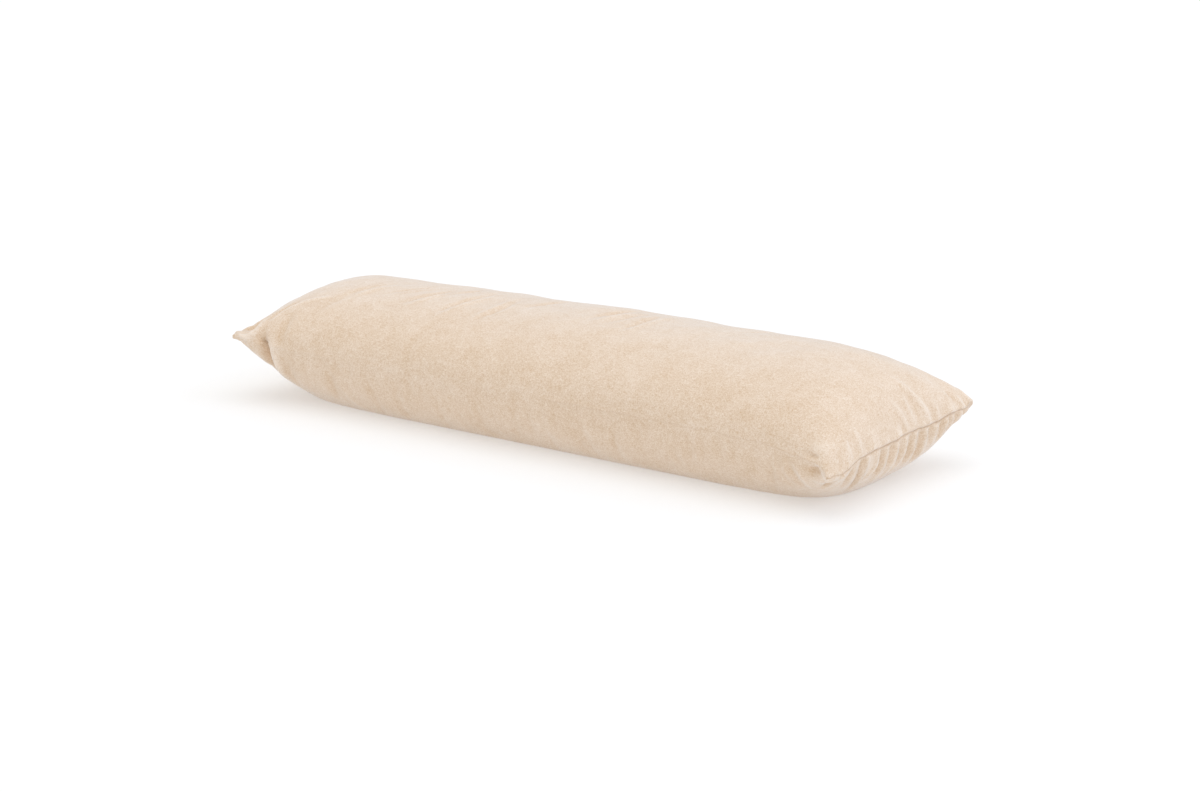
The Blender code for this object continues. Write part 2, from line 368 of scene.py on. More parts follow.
@dataclass(frozen=True)
class Crease:
    """One fold along a curved line on a panel, in the flat cloth's own metres.

    Args:
        side: The panel.
        route: Two or more places (along, across) that the fold passes.
        width: The fold's half width.
        depth: How deep it presses in. A negative depth is a ridge.
        in_plan: Whether the route is in plan, on the lying pillow, and not on the flat cloth.
        taper: How slowly the fold rises from its ends: 0.6 is quick and 2 is slow.
        fold_shading: How strongly the fold's painted shade and highlight show, as a share.
    """

    side: Side
    route: tuple[Place, ...]
    width: float
    depth: float
    in_plan: bool = False
    taper: float = 0.6
    fold_shading: float = 1.0

    # Points from place to place, the reach in half widths, and how far the shoulders swing back.
    STEPS = 5
    REACH = 4.0
    SHOULDER = 0.35

    def line(self) -> Array:
        """The route as a smooth run of close points, a Catmull-Rom curve through its places.

        Returns:
            The points, as rows of along and across.
        """
        places = np.array(self.route)
        places = np.vstack([2 * places[0] - places[1], places, 2 * places[-1] - places[-2]])
        run = []
        for before, start, end, after in zip(places, places[1:], places[2:], places[3:]):
            for t in np.linspace(0, 1, self.STEPS, endpoint=False):
                run.append(0.5 * (2 * start + (end - before) * t
                                  + (2 * before - 5 * start + 4 * end - after) * t**2
                                  + (3 * start - before - 3 * end + after) * t**3))
        run.append(places[-2])
        return np.array(run)

    def pressed(self, along: Array, across: Array) -> Array:
        """How deep the fold presses in at each place, fading out to both of its ends.

        Args:
            along, across: Places, on the flat cloth or in plan as the route is.

        Returns:
            The depths, below 0 on a ridge.
        """
        line = self.line()
        depth = np.zeros_like(along)
        margin = self.REACH * self.width
        low, high = line.min(axis=0) - margin, line.max(axis=0) + margin
        near = (along > low[0]) & (along < high[0]) & (across > low[1]) & (across < high[1])
        if not near.any():
            return depth
        u, v = along[near], across[near]
        best = np.full(u.shape, np.inf)
        share = np.zeros_like(u)
        pieces = len(line) - 1
        for i in range(pieces):
            run = line[i + 1] - line[i]
            t = np.clip(((u - line[i][0]) * run[0] + (v - line[i][1]) * run[1]) / (run @ run), 0, 1)
            away = (u - line[i][0] - t * run[0]) ** 2 + (v - line[i][1] - t * run[1]) ** 2
            closer = away < best
            best = np.where(closer, away, best)
            share = np.where(closer, (i + t) / pieces, share)
        aside = best / self.width**2
        fade = np.sin(math.pi * np.clip(share, 0.0, 1.0)) ** self.taper
        depth[near] = self.depth * fade * (1 - self.SHOULDER * aside) * np.exp(-aside)
        return depth


@dataclass(frozen=True)
class PuckerRow:
    """A row of puckers that run in from one seam, each a little unlike the next.

    Args:
        edge: The seam.
        side: The panel.
        pitch: From one pucker to the next.
        depth: The usual depth.
        reach: How far the usual pucker runs in from the seam.
        width: The usual half width.
        seed: Which run of uneven values the row takes.
        start, end: The stretch of the seam that has puckers, in metres along the cut edge.
        unevenness: How much the values vary, as a share.
    """

    edge: Edge
    side: Side
    pitch: float
    depth: float
    reach: float
    width: float
    seed: int
    start: float
    end: float
    unevenness: float = 0.45

    # Where a pucker starts, how far its end drifts and its middle bows, and how width and pitch vary.
    INSET = 0.004
    SLANT = 0.5
    BOW = 0.15
    WIDENING = 0.5
    SPACING = 0.7

    def creases(self, half_cut: Place) -> list[Crease]:
        """Places the row's puckers.

        Args:
            half_cut: Half the length and half the width of the cut cloth.

        Returns:
            A crease for each pucker.
        """
        axis, sign = self.edge.value
        rng = np.random.default_rng(self.seed)
        made = []
        place = self.start
        while place < self.end:
            reach, depth, lean, bow, step = rng.uniform(-1, 1, 5) * self.unevenness
            length = self.reach * (1 + reach)
            drift = length * self.SLANT * lean
            inward = (self.INSET, length / 2, length)
            aside = (place, place + drift / 2 + length * self.BOW * bow, place + drift)
            route = tuple((sign * (half_cut[axis] - i), a) for i, a in zip(inward, aside))
            if axis == 1:
                route = tuple((a, i) for i, a in route)
            width = self.width * (1 + self.WIDENING * depth)
            made.append(Crease(self.side, route, width, self.depth * (1 + depth)))
            place += self.pitch * (1 + step * self.SPACING)
        return made


@dataclass(frozen=True)
class Lumps:
    """The filling's unevenness: waves of several lengths, all worked out from one seed.

    Args:
        wavelengths: The waves' lengths, in metres.
        heights: How high the waves of each length rise.
        stretch: The least and the most that a wave's length is stretched.
        waves: How many waves of each length cross each other.
        seed: Which run of directions and shifts they take.
    """

    wavelengths: tuple[float, ...] = (0.26, 0.12, 0.065, 0.034)
    heights: tuple[float, ...] = (0.0006, 0.0007, 0.0004, 0.0002)
    stretch: Place = (0.75, 1.3)
    waves: int = 7
    seed: int = 11

    def pressed(self, points: Array) -> Array:
        """How deep the cloth lies under its smooth form at each point.

        Args:
            points: Points of the smooth form.

        Returns:
            The depths, below 0 where the filling bulges.
        """
        rng = np.random.default_rng(self.seed)
        depth = np.zeros(points.shape[:-1])
        for wavelength, height in zip(self.wavelengths, self.heights):
            for _ in range(self.waves):
                direction = rng.normal(size=3)
                direction /= np.linalg.norm(direction)
                shift = rng.uniform(0, 2 * math.pi)
                length = wavelength * rng.uniform(*self.stretch)
                wave = points @ direction * (2 * math.pi / length) + shift
                depth += height / math.sqrt(self.waves) * np.sin(wave)
        return depth


@dataclass(frozen=True)
class SeamGroove:
    """The narrow valley that a seam draws between two rolls of cloth.

    Args:
        depth: How far the seam itself is drawn in.
        width: The distance in which the groove dies out.
        lip: How far the top panel's roll stands out over the seam.
        lip_place: Where on the top panel that roll is highest, from the seam.
        corner_fade: How near the corners the groove dies out.
    """

    depth: float
    width: float
    lip: float = 0.0
    lip_place: float = 0.004
    corner_fade: float = 0.090

    # How square the groove is, the lip's width as a share of its place, and where the lip starts.
    SHARPNESS = 1.3
    LIP_WIDTH = 0.75
    LIP_START = 0.0004

    def drawn_in(self, side: Side, from_seam: Array, from_corner: Array) -> Array:
        """How far in the seam draws the cloth of a panel.

        Args:
            side: The panel.
            from_seam, from_corner: Each place's distances to the seam and its nearer corner.

        Returns:
            The distances, below 0 where the cloth stands out.
        """
        groove = self.depth * np.exp(-((from_seam / self.width) ** self.SHARPNESS))
        if side is Side.TOP:
            roll = falloff(from_seam - self.lip_place, self.lip_place * self.LIP_WIDTH)
            clear_of_seam = 1 - falloff(from_seam, self.LIP_START)
            groove = groove - self.lip * roll * clear_of_seam
        return groove * (1 - falloff(from_corner, self.corner_fade))


@dataclass(frozen=True)
class Nudge:
    """A soft push on the cloth of both panels round one place.

    Args:
        place: The middle of the push, on the flat cloth.
        radius: How far it reaches.
        shift: How far the middle moves, in x, y and z.
    """

    place: Place
    radius: float
    shift: Point

    def moved(self, along: Array, across: Array) -> Array:
        """How far each place moves."""
        away = (along - self.place[0]) ** 2 + (across - self.place[1]) ** 2
        return np.exp(-away / self.radius**2)[..., None] * np.array(self.shift)


@dataclass(frozen=True)
class CornerPad:
    """The seam allowances turned in at the corners, which keep their tips blunt.

    Args:
        form: The pillow's form.
        tip_thickness: The least thickness of each half of the very tip, for each of the form's corners.
        slope: How much thicker each half is for each metre behind the tip.
        under_share: The under panel's share of that thickness.
        reach, fade: How far from the tip the wedge goes on, and in what distance it then dies out.
        edge_roll: How near the seam the tip takes its thickness, on the flat cloth.
        lean: The way that the tips point, in plan, as shares of x and y.
        tip: The length of the sewn tip that is pressed blunt.
        bluntness: How long it is afterwards.
        calm_reach: How near the tips the folds of the panels die out.
    """

    form: PillowForm
    tip_thickness: tuple[float, ...] = (0.0022, 0.0028, 0.0025, 0.0036)
    slope: tuple[float, ...] = (0.46, 0.0, 0.40, 0.62)
    under_share: float = 0.75
    reach: float = 0.016
    fade: float = 0.012
    edge_roll: float = 0.010
    lean: Place = (0.588, 0.809)
    tip: float = 0.0060
    bluntness: float = 0.0036
    calm_reach: float = 0.014

    # How closely padding and cloth meet, and how many tip lengths round each tip are pressed back.
    SMOOTHNESS = 4.0
    TIP_LENGTHS = 4.0
    TIPS = ((-1.0, -1.0), (1.0, -1.0), (-1.0, 1.0), (1.0, 1.0))

    def from_tips(self, points: Array) -> list[tuple[Array, Array, Array]]:
        """How far each point is from each tip in plan.

        Args:
            points: The points.

        Returns:
            For each tip, the distances in x, in y and straight.
        """
        away = []
        for along, across in self.TIPS:
            tip_x, tip_y = self.form.plan(np.array([along]), np.array([across]))
            x, y = points[..., 0] - tip_x[0], points[..., 1] - tip_y[0]
            away.append((x, y, np.hypot(x, y)))
        return away

    def lifted(self, panel: Panel, points: Array) -> Array:
        """How far the padding lifts the folded cloth, or lowers it on the under panel.

        Args:
            panel: The panel.
            points: Its folded points.

        Returns:
            How far up each point moves.
        """
        held = np.zeros_like(panel.seam_height)
        tips = zip(self.from_tips(points), self.tip_thickness, self.slope)
        for (_, _, from_tip), thickness, slope in tips:
            wedge = thickness + slope * np.minimum(from_tip, self.reach)
            held = held + wedge * falloff(np.maximum(from_tip - self.reach, 0.0), self.fade)
        held = held * np.sqrt(1 - np.exp(-np.maximum(panel.from_rim, 0.0) / self.edge_roll))
        up, share = (1.0, 1.0) if panel.side is Side.TOP else (-1.0, self.under_share)
        room = np.maximum(up * (points[..., 2] - panel.seam_height), 0.0)
        power = self.SMOOTHNESS
        return up * ((room**power + (held * share) ** power) ** (1 / power) - room)

    def calmed(self, points: Array) -> Array:
        """The share of their depth that folds keep at each point, 0 at the very tips.

        Args:
            points: The points.

        Returns:
            The shares.
        """
        kept = np.ones(points.shape[:-1])
        for _, _, from_tip in self.from_tips(points):
            kept = kept * (1 - falloff(from_tip, self.calm_reach))
        return kept

    def blunted(self, points: Array) -> Array:
        """Presses back the last few millimetres of each tip.

        Args:
            points: The points.

        Returns:
            The points, where they then lie.
        """
        moved = points.copy()
        power = self.SMOOTHNESS
        for end, (x, y, from_tip) in zip(np.array(self.TIPS), self.from_tips(points)):
            out = end * self.lean
            past = x * out[0] + y * out[1] + self.tip
            pressed = past / (1 + (np.maximum(past, 0.0) / self.bluntness) ** power) ** (1 / power)
            back = np.where((past > 0) & (from_tip < self.TIP_LENGTHS * self.tip), pressed - past, 0.0)
            moved[..., :2] += back[..., None] * out
        return moved


@dataclass(frozen=True)
class SeamWave:
    """The seams' own slight waviness, up and down, which dies out away from them.

    Args:
        lengths: The waves' lengths along the seam.
        heights: How far each wave rises and falls.
        reach: How far from the seam the waves go.
    """

    lengths: tuple[float, ...] = (0.094, 0.041, 0.023)
    heights: tuple[float, ...] = (0.0009, 0.0005, 0.0003)
    reach: float = 0.020

    # How far each wave is shifted against the one before.
    SHIFT = 1.7

    def risen(self, along_seam: Array, from_seam: Array) -> Array:
        """How far the waves lift the cloth.

        Args:
            along_seam, from_seam: Each place's distances along the seam and from it.

        Returns:
            How far up each place moves.
        """
        wave = np.zeros_like(along_seam)
        for number, (length, height) in enumerate(zip(self.lengths, self.heights)):
            wave = wave + height * np.sin(2 * math.pi * along_seam / length + self.SHIFT * number)
        return wave * falloff(from_seam, self.reach)


def seam_nudges() -> tuple[Nudge, ...]:
    """Where the seams leave their even line."""
    return (
        Nudge((-0.692, -0.262), 0.050, (-0.003, -0.002, -0.0065)),
        Nudge((0.634, -0.262), 0.032, (0.000, 0.000, 0.010)),
        Nudge((0.695, -0.262), 0.030, (-0.006, 0.002, -0.002)),
        Nudge((0.685, -0.168), 0.030, (0.000, 0.000, -0.0100)),
        Nudge((0.685, -0.070), 0.060, (0.000, 0.000, -0.0050)),
        Nudge((0.685, 0.145), 0.028, (0.000, 0.000, 0.0040)),
        Nudge((0.685, 0.235), 0.034, (0.000, 0.000, -0.0045)),
    )


def seam_grooves() -> dict[Edge, SeamGroove]:
    """The four seams' grooves: the closure seam at the right end is the sharp one."""
    return {
        Edge.RIGHT_END: SeamGroove(0.0030, 0.0020, lip=0.0010),
        Edge.LEFT_END: SeamGroove(0.0022, 0.0030, lip=0.0005),
        Edge.FRONT: SeamGroove(-0.0007, 0.0026),
        Edge.BACK: SeamGroove(-0.0005, 0.0028),
    }


# The folds, in tables with a row for each: its half width, its depth and the places it passes, all in
# millimetres. A depth below 0 is a ridge.

def creases(side: Side, *rows: tuple, **shared: Union[bool, float]) -> list[Crease]:
    """Turns rows of a fold table into creases.

    Args:
        side: The panel that the folds lie on.
        rows: A row for each fold: half width, depth, and then its places.
        shared: The fields that all of them share.

    Returns:
        The creases, in metres.
    """
    return [
        Crease(side, tuple((along / 1000, across / 1000) for along, across in route),
               width / 1000, depth / 1000, **shared)
        for width, depth, *route in rows
    ]


def end_creases() -> list[Crease]:
    """The puckers at the closure seam, from the seam inward, each listed one by one."""
    above = creases(
        Side.TOP,
        (5.5, -3, (700, 18), (651, 2), (621, -14)),
        (5, -2.6, (700, 34), (651, 26), (630, 22)),
        (5.5, -3.3, (712, 74), (651, 62), (590, 30)),
        (8, 2, (700, 46), (655, 44), (625, 34)),
        (7, 1.8, (700, 84), (660, 80), (640, 72)),
        (5.5, -2.4, (700, 95), (665, 94), (645, 98)),
        (7, 1.3, (700, 112), (660, 110)),
        (6, -2.2, (700, 132), (662, 136)),
        (7.5, 2, (700, 153), (650, 152), (630, 148)),
        (5.5, -3, (700, 170), (641, 165)),
        (7, 2, (700, 186), (645, 182)),
        (6, -3.4, (712, 199), (612, 208)),
        (5.5, -2.4, (700, -14), (659, -14)),
        (7, 1.5, (700, 3), (655, -4)),
        (6.5, 1.2, (700, -34), (664, -32)),
        (5, -1.9, (700, -48), (668, -47)),
        (6, 1, (700, -62), (670, -66)),
        (5, -2.2, (700, -86), (662, -82)),
        (8, 1.5, (700, -101), (660, -102)),
        (5.5, -2.6, (700, -120), (660, -120), (638, -124)),
        (5.5, -3, (700, -143), (655, -151), (640, -154)),
        (5, -2.2, (700, -162), (663, -156), (645, -151)),
        (7.5, 1.2, (700, -186), (663, -181), (638, -165)),
        taper=1.1,
    )
    below = creases(
        Side.UNDER,
        (5.5, -4.5, (700, -170), (651, -175), (585, -159)),
        (6, 5.1, (700, -183), (627, -173), (595, -165)),
        (7.4, 6.8, (700, -118), (653, -106), (600, -86)),
        (5.1, -3.6, (700, -104), (639, -92), (605, -80)),
        (5.1, -3.4, (700, -78), (655, -66), (620, -76)),
        (7.4, 5.8, (700, -66), (653, -52), (630, -52)),
        (5.1, -4.1, (700, -54), (653, -40), (600, -32)),
        (8.3, 6.1, (700, -38), (661, -28), (640, -20)),
        (5.1, -3.9, (700, -23), (651, -9), (605, -3)),
        (6.4, 4.8, (700, -15), (655, 1), (640, 8)),
        (5.1, -3.9, (700, 3), (655, 14), (615, 19)),
        (6.4, 5.1, (700, 13), (655, 29), (630, 36)),
        (5.1, -3.6, (700, 27), (657, 40), (620, 52)),
        (8.3, 6.8, (700, 42), (650, 58), (620, 69)),
        (5.1, -3.4, (700, 55), (651, 73), (625, 81)),
        (6.9, 5.1, (700, 66), (660, 82)),
        (5.1, -3.6, (700, 80), (645, 98)),
        (7.8, 5.8, (700, 99), (645, 112)),
        (4.6, -3.1, (700, 113), (645, 124)),
        (5.5, 3.8, (700, 122), (650, 132)),
        (4.6, -2.8, (700, 130), (650, 141)),
        (6.4, 4.8, (700, 141), (645, 154)),
        (5.1, -3.1, (700, 158), (650, 168)),
        (6.9, 4.5, (700, 174), (645, 180)),
        (5.5, -2.8, (700, 192), (652, 194)),
        (6.4, 3.8, (700, 208), (650, 206)),
        (6, -3.2, (700, -205), (640, -206), (600, -196)),
        (7.8, 4.5, (700, -142), (645, -136), (610, -124)),
    )
    return above + below


def body_creases() -> list[Crease]:
    """The single folds away from the closure seam, each listed one by one."""
    above = creases(
        Side.TOP,
        # Beside the left ear: a bright ridge over a dark wedge, and the soft fold below.
        (8, -3.6, (-572, -192), (-560, -155), (-520, -125), (-486, -108)),
        (8.5, 6.2, (-588, -176), (-571, -150), (-550, -130)),
        (9.5, 4.8, (-540, -165), (-530, -210), (-531, -250)),
        # Beside the blunt corner at the right.
        (17, -2.4, (600, -222), (625, -208), (655, -195)),
        # A soft fold down the front.
        (11, 1.8, (-490, -175), (-470, -120), (-440, -75)),
        # Soft folds on the back and the left end.
        (12, 4.8, (-600, 225), (-570, 170), (-520, 120)),
        (11, 3, (-560, 235), (-500, 190), (-440, 130)),
        (11, 3.4, (610, 225), (575, 185), (520, 160)),
        (12, 2.8, (200, 262), (212, 205), (180, 140)),
        (9, 3.4, (-660, 60), (-620, 55), (-560, 20)),
        (9, 3.2, (-660, -80), (-615, -85), (-570, -70)),
    )
    below = creases(
        Side.UNDER,
        # Under the left ear.
        (9, 3, (-520, -240), (-529, -190)),
        # Beside the blunt corner at the right.
        (7, -2.6, (565, -232), (572, -205), (575, -172)),
        (11, 3.6, (545, -245), (553, -215), (560, -180)),
        # Soft folds down the front.
        (8, 2.6, (-417, -235), (-421, -205), (-430, -170)),
        (7, -1.6, (-401, -225), (-394, -187), (-372, -155)),
        # Soft folds on the back.
        (11, 8, (-590, 262), (-580, 215), (-595, 160)),
        (11, 6, (600, 262), (590, 215), (575, 170)),
        (11, 2.4, (200, 262), (190, 210), (200, 165)),
    )
    return above + below


def crown_creases() -> list[Crease]:
    """The fine parallel creases over the crown, soft troughs with a pale ridge close below most."""
    troughs = creases(
        Side.TOP,
        (6.5, 3.2, (-480, -124), (-456, -74), (-444, -42), (-406, 24)),
        (6, 2.6, (-400, -80), (-376, -40), (-350, 0), (-324, 50)),
        (6.5, 4, (-342, -120), (-320, -64), (-302, -24), (-270, 44)),
        (6, 3, (-292, -40), (-262, 16), (-236, 74)),
        (6, 3.8, (-256, -166), (-237, -92), (-227, -56), (-214, 10), (-204, 74)),
        (6, 4.2, (-157, -126), (-145, -78), (-138, -32), (-147, 46)),
        (6, 3.2, (-108, -52), (-86, 6), (-58, 80)),
        (6.5, 4.2, (40, -66), (56, 0), (88, 74)),
        (6, 3.2, (78, -78), (94, -12), (120, 60)),
        (6, 4, (122, -90), (133, -20), (141, 80)),
        (7, 2.2, (300, 0), (322, 60), (330, 120)),
        taper=2.0, fold_shading=0.45,
    )
    ridges = creases(
        Side.TOP,
        (5.5, -2.3, (-458, -124), (-440, -78), (-429, -46), (-394, 14)),
        (5, -2, (-386, -80), (-362, -40), (-338, 0), (-314, 46)),
        (5.5, -2.7, (-328, -128), (-304, -70), (-287, -30), (-257, 36)),
        (5.5, -3.1, (-242, -164), (-224, -94), (-214, -60), (-203, -10), (-190, 62)),
        (5.2, -3.1, (-170, -134), (-158, -86), (-152, -44), (-160, 40)),
        (5.5, -2.7, (58, -74), (74, -10), (102, 60)),
        (5.5, -2.7, (137, -88), (147, -20), (155, 74)),
        taper=2.0, fold_shading=0.90,
    )
    return troughs + ridges


def corner_dents() -> list[Crease]:
    """The soft dents of the blunt corner at the right, beside its tucked fold."""
    above = creases(
        Side.TOP,
        (7, 6, (580, -243), (604, -242), (628, -235)),
        taper=1.6,
    )
    below = creases(
        Side.UNDER,
        (11.5, 15, (580, -222), (608, -234), (636, -238)),
        (8.5, -5, (655, -244), (650, -226), (640, -205)),
        (5.5, 5, (588, -160), (619, -181), (648, -190)),
        taper=1.6,
    )
    return above + below


def ear_creases() -> list[Crease]:
    """The ears' own folds, in plan on the lying pillow."""
    left_ear = creases(
        Side.TOP,
        # The ridge along the left front ear's base, and the flat band behind it.
        (5, -8, (-644, -217), (-630, -215), (-614, -211), (-605, -197), (-602, -172), (-590, -140)),
        (11, 9, (-637, -198), (-629, -186), (-622, -168), (-618, -120)),
        in_plan=True, taper=1.1,
    )
    right_ear = creases(
        Side.TOP,
        # The right back ear's full upper side.
        (24, -5.5, (560, 120), (600, 155), (636, 187), (664, 212)),
        in_plan=True, taper=1.1, fold_shading=0.0,
    )
    below = creases(
        Side.UNDER,
        # The left front ear's drawn-up underside, and the full cloth under the right back ear.
        (17, 13, (-656, -226), (-638, -217), (-618, -208)),
        (26, -5, (600, 30), (632, 90), (650, 150)),
        in_plan=True, taper=1.1, fold_shading=0.0,
    )
    return left_ear + right_ear + below


def tucks() -> list[Crease]:
    """The folds that run from the top panel over the front seam, onto the under panel laid flat past it."""
    return creases(
        Side.TOP,
        # The left ear's deep tuck and the roll in front of it.
        (8.5, 20.5, (-582, -198), (-572, -232), (-562, -264), (-564, -305), (-586, -385)),
        (8.5, 13, (-563, -258), (-568, -292), (-579, -325), (-592, -352)),
        (11, -5.5, (-546, -222), (-542, -262), (-547, -310), (-566, -350)),
        # The long soft fold down the front.
        (12, 2, (-190, -120), (-228, -163), (-242, -215), (-236, -262), (-246, -305), (-262, -350)),
        taper=1.3,
    )


def pucker_rows() -> list[PuckerRow]:
    """The rows of small puckers along the seams that have none listed one by one."""
    top, under = Side.TOP, Side.UNDER
    return [
        # seam, panel, pitch, depth, reach, half width, seed, start, end, unevenness
        PuckerRow(Edge.LEFT_END, top, 0.025, 0.0026, 0.060, 0.0075, 21, -0.185, 0.235),
        PuckerRow(Edge.LEFT_END, under, 0.026, 0.0032, 0.070, 0.0080, 22, -0.195, 0.230),
        PuckerRow(Edge.FRONT, under, 0.024, 0.0014, 0.070, 0.0065, 23, -0.500, 0.540, 0.6),
        PuckerRow(Edge.FRONT, top, 0.034, 0.0006, 0.040, 0.0080, 24, -0.480, 0.540, 0.7),
        PuckerRow(Edge.BACK, under, 0.025, 0.0028, 0.070, 0.0068, 25, -0.540, 0.560, 0.6),
        PuckerRow(Edge.BACK, top, 0.030, 0.0012, 0.055, 0.0080, 26, -0.540, 0.560, 0.7),
    ]


# The cover as a mesh

def vertex_places(mesh: bpy.types.Mesh) -> Array:
    """Reads a mesh's points.

    Args:
        mesh: The mesh.

    Returns:
        Rows of x, y and z.
    """
    places = np.empty(len(mesh.vertices) * 3)
    mesh.vertices.foreach_get("co", places)
    return places.reshape(-1, 3)


@dataclass
class PillowCover:
    """The whole visible pillow: both panels at close spacing, with every fold in the mesh.

    Args:
        form: The smooth form under the folds.
        lumps: The filling's unevenness.
        cells: Even cells along and across each panel, between the close lines beside the seams.
        beside_seams: Where the close lines lie, from the end seams and from the side seams.
        flat_below: The height over which folds die out towards the patch that the pillow lies on.
        shared_rim: How far from the seam both panels' cloth faces the same way.
        calm_rim: How far from the seam the folds of one panel die out.
        kept_thickness: The share of the pillow's local thickness that folds leave.
        least_thickness: The depth that folds reach even at the seams.
        seam_shade_width: How far the closure seam's shade spreads.
        corner_spread: How much wider it gets at the corners, where the cloth is gathered, as a share.
        corner_reach: How far from the corners it does so.
        front_seam_shade: How strong the front seam's shade is, at most, beside the closure seam's.
        front_shade_from, front_shade_ramp: Where along the front seam its shade begins, and the
            distance in which it grows.
        full_fold_shading: The height at which a ridge is palest, with painted highlight and rubbed nap.
        ridge_sharpness: How narrow the painted highlight lines on the ridges are.
        trough_share: How much weaker the troughs' painted shade is.
        weld: How close points are joined.
    """

    form: PillowForm
    lumps: Lumps
    cells: tuple[int, int] = (256, 130)
    beside_seams: tuple[tuple[float, ...], ...] = (
        (0.0007, 0.0014, 0.0022, 0.0031, 0.0042, 0.0056, 0.0074, 0.0098),
        (0.0010, 0.0022, 0.0038, 0.0060),
    )
    flat_below: float = 0.012
    shared_rim: float = 0.012
    calm_rim: float = 0.0050
    kept_thickness: float = 0.25
    least_thickness: float = 0.0008
    seam_shade_width: float = 0.0016
    corner_spread: float = 3.0
    corner_reach: float = 0.030
    front_seam_shade: float = 0.36
    front_shade_from: float = 0.030
    front_shade_ramp: float = 0.450
    full_fold_shading: float = 0.0040
    ridge_sharpness: float = 1.4
    trough_share: float = 0.36
    weld: float = 0.000002

    def lines(self, axis: int) -> Array:
        """Where the grid's lines cross the flat cloth, closer beside the seams.

        Args:
            axis: 0 for its length and 1 for its width.

        Returns:
            The places, from one seam to the other.
        """
        half_cut = self.form.half_cut[axis]
        near = half_cut - np.array(self.beside_seams[axis])
        even = np.linspace(-near[-1], near[-1], self.cells[axis] + 1)
        return np.concatenate([[-half_cut], -near[:-1], even, near[:-1][::-1], [half_cut]])

    def folds(self, panel: Panel) -> tuple[Array, Array]:
        """The folds that stay on a panel, before the seams and the filling limit them.

        Args:
            panel: The panel.

        Returns:
            The depth at each place, in metres and below 0 on a ridge, and the part of it that
            sets the painted shade and highlight.
        """
        made = end_creases() + body_creases() + crown_creases() + corner_dents() + ear_creases()
        for row in pucker_rows():
            made.extend(row.creases(self.form.half_cut))
        depth = np.zeros_like(panel.from_rim)
        shaded = np.zeros_like(panel.from_rim)
        plan = (panel.points[..., 0], panel.points[..., 1])
        for crease in made:
            if crease.side is panel.side:
                pressed = crease.pressed(*(plan if crease.in_plan else panel.cut))
                depth = depth + pressed
                shaded = shaded + pressed * crease.fold_shading
        return depth, shaded

    def tucked(self, panel: Panel) -> Array:
        """How deep the tucks press in, which run from the top panel over the front seam.

        Args:
            panel: The panel.

        Returns:
            The depth at each of its places.
        """
        along, across = panel.cut
        if panel.side is Side.UNDER:
            across = -2 * self.form.half_cut[1] - across
        return sum(tuck.pressed(along, across) for tuck in tucks())

    def shade_and_wear(self, panel: Panel) -> Array:
        """The folds' painted shading: up to 1 for painted highlight and rubbed nap on ridges, below 0 for
        painted shade in troughs.
        """
        fold_shading = -np.tanh((self.folds(panel)[1] + self.tucked(panel)) / self.full_fold_shading)
        return np.where(fold_shading > 0, np.maximum(fold_shading, 0.0) ** self.ridge_sharpness, fold_shading * self.trough_share)

    def pressed(self, panel: Panel) -> Array:
        """How deep the folds that stay on a panel press into it, with the filling's lumps.

        Args:
            panel: The panel.

        Returns:
            The depth at each of its places, below 0 on a ridge.
        """
        depth = self.folds(panel)[0] + self.lumps.pressed(panel.points)
        depth = depth * CornerPad(self.form).calmed(panel.points)
        room = (1 - self.kept_thickness) * np.abs(panel.points[..., 2] - panel.seam_height)
        room = room + self.least_thickness
        depth = np.where(depth > 0, room * np.tanh(depth / room), depth)
        return depth * np.clip(panel.from_rim / self.calm_rim, 0.0, 1.0)

    def seam_draw(self, panel: Panel) -> Array:
        """How far the grooves, the seams' waviness and the nudges move each place.

        Args:
            panel: The panel.

        Returns:
            The moves in x, y and z.
        """
        wave = SeamWave()
        moved = np.zeros_like(panel.points)
        for edge, groove in seam_grooves().items():
            axis, sign = edge.value
            beside = panel.cut[1 - axis]
            from_seam = self.form.half_cut[axis] - sign * panel.cut[axis]
            from_corner = self.form.half_cut[1 - axis] - np.abs(beside)
            moved[..., axis] -= sign * groove.drawn_in(panel.side, from_seam, from_corner)
            moved[..., 2] += wave.risen(beside, from_seam)
        for nudge in seam_nudges():
            moved += nudge.moved(*panel.cut)
        return moved

    def folded_points(self, panel: Panel) -> Array:
        """Lays the folds, the corners and the seams on the smooth panel.

        Args:
            panel: The panel.

        Returns:
            Its points as they lie, none below the floor.
        """
        pad = CornerPad(self.form)
        own, other = (self.form.outward(side, *panel.shares) for side in (panel.side, panel.side.other))
        shared = 0.5 * np.clip(1 - panel.from_rim / self.shared_rim, 0.0, 1.0)[..., None] ** 2
        outward = own * (1 - shared) + other * shared
        outward /= np.linalg.norm(outward, axis=-1, keepdims=True)
        free = np.ones_like(panel.from_rim)
        if panel.side is Side.UNDER:
            free = np.clip(panel.points[..., 2] / self.flat_below, 0.0, 1.0)
        pressed, tucked = (depth * free for depth in (self.pressed(panel), self.tucked(panel)))
        points = panel.points - (own * pressed[..., None] + outward * tucked[..., None])
        points[..., 2] += pad.lifted(panel, points)
        points = pad.blunted(points + self.seam_draw(panel))
        points[..., 2] = np.maximum(points[..., 2], 0.0)
        return points

    def seam_shade(self, panel: Panel) -> Array:
        """How much of the seams' shade lies on each place, from 0 to 1.

        Args:
            panel: The panel.

        Returns:
            The shares.
        """
        along, across = panel.cut
        half_length, half_width = self.form.half_cut
        gathered = falloff(half_width - np.abs(across), self.corner_reach)
        closure = falloff(half_length - along, self.seam_shade_width * (1 + self.corner_spread * gathered))
        shown = np.sqrt(np.clip((along - self.front_shade_from) / self.front_shade_ramp, 0.0, 1.0))
        front = falloff(half_width + across, self.seam_shade_width)
        return np.maximum(closure, self.front_seam_shade * shown * front)

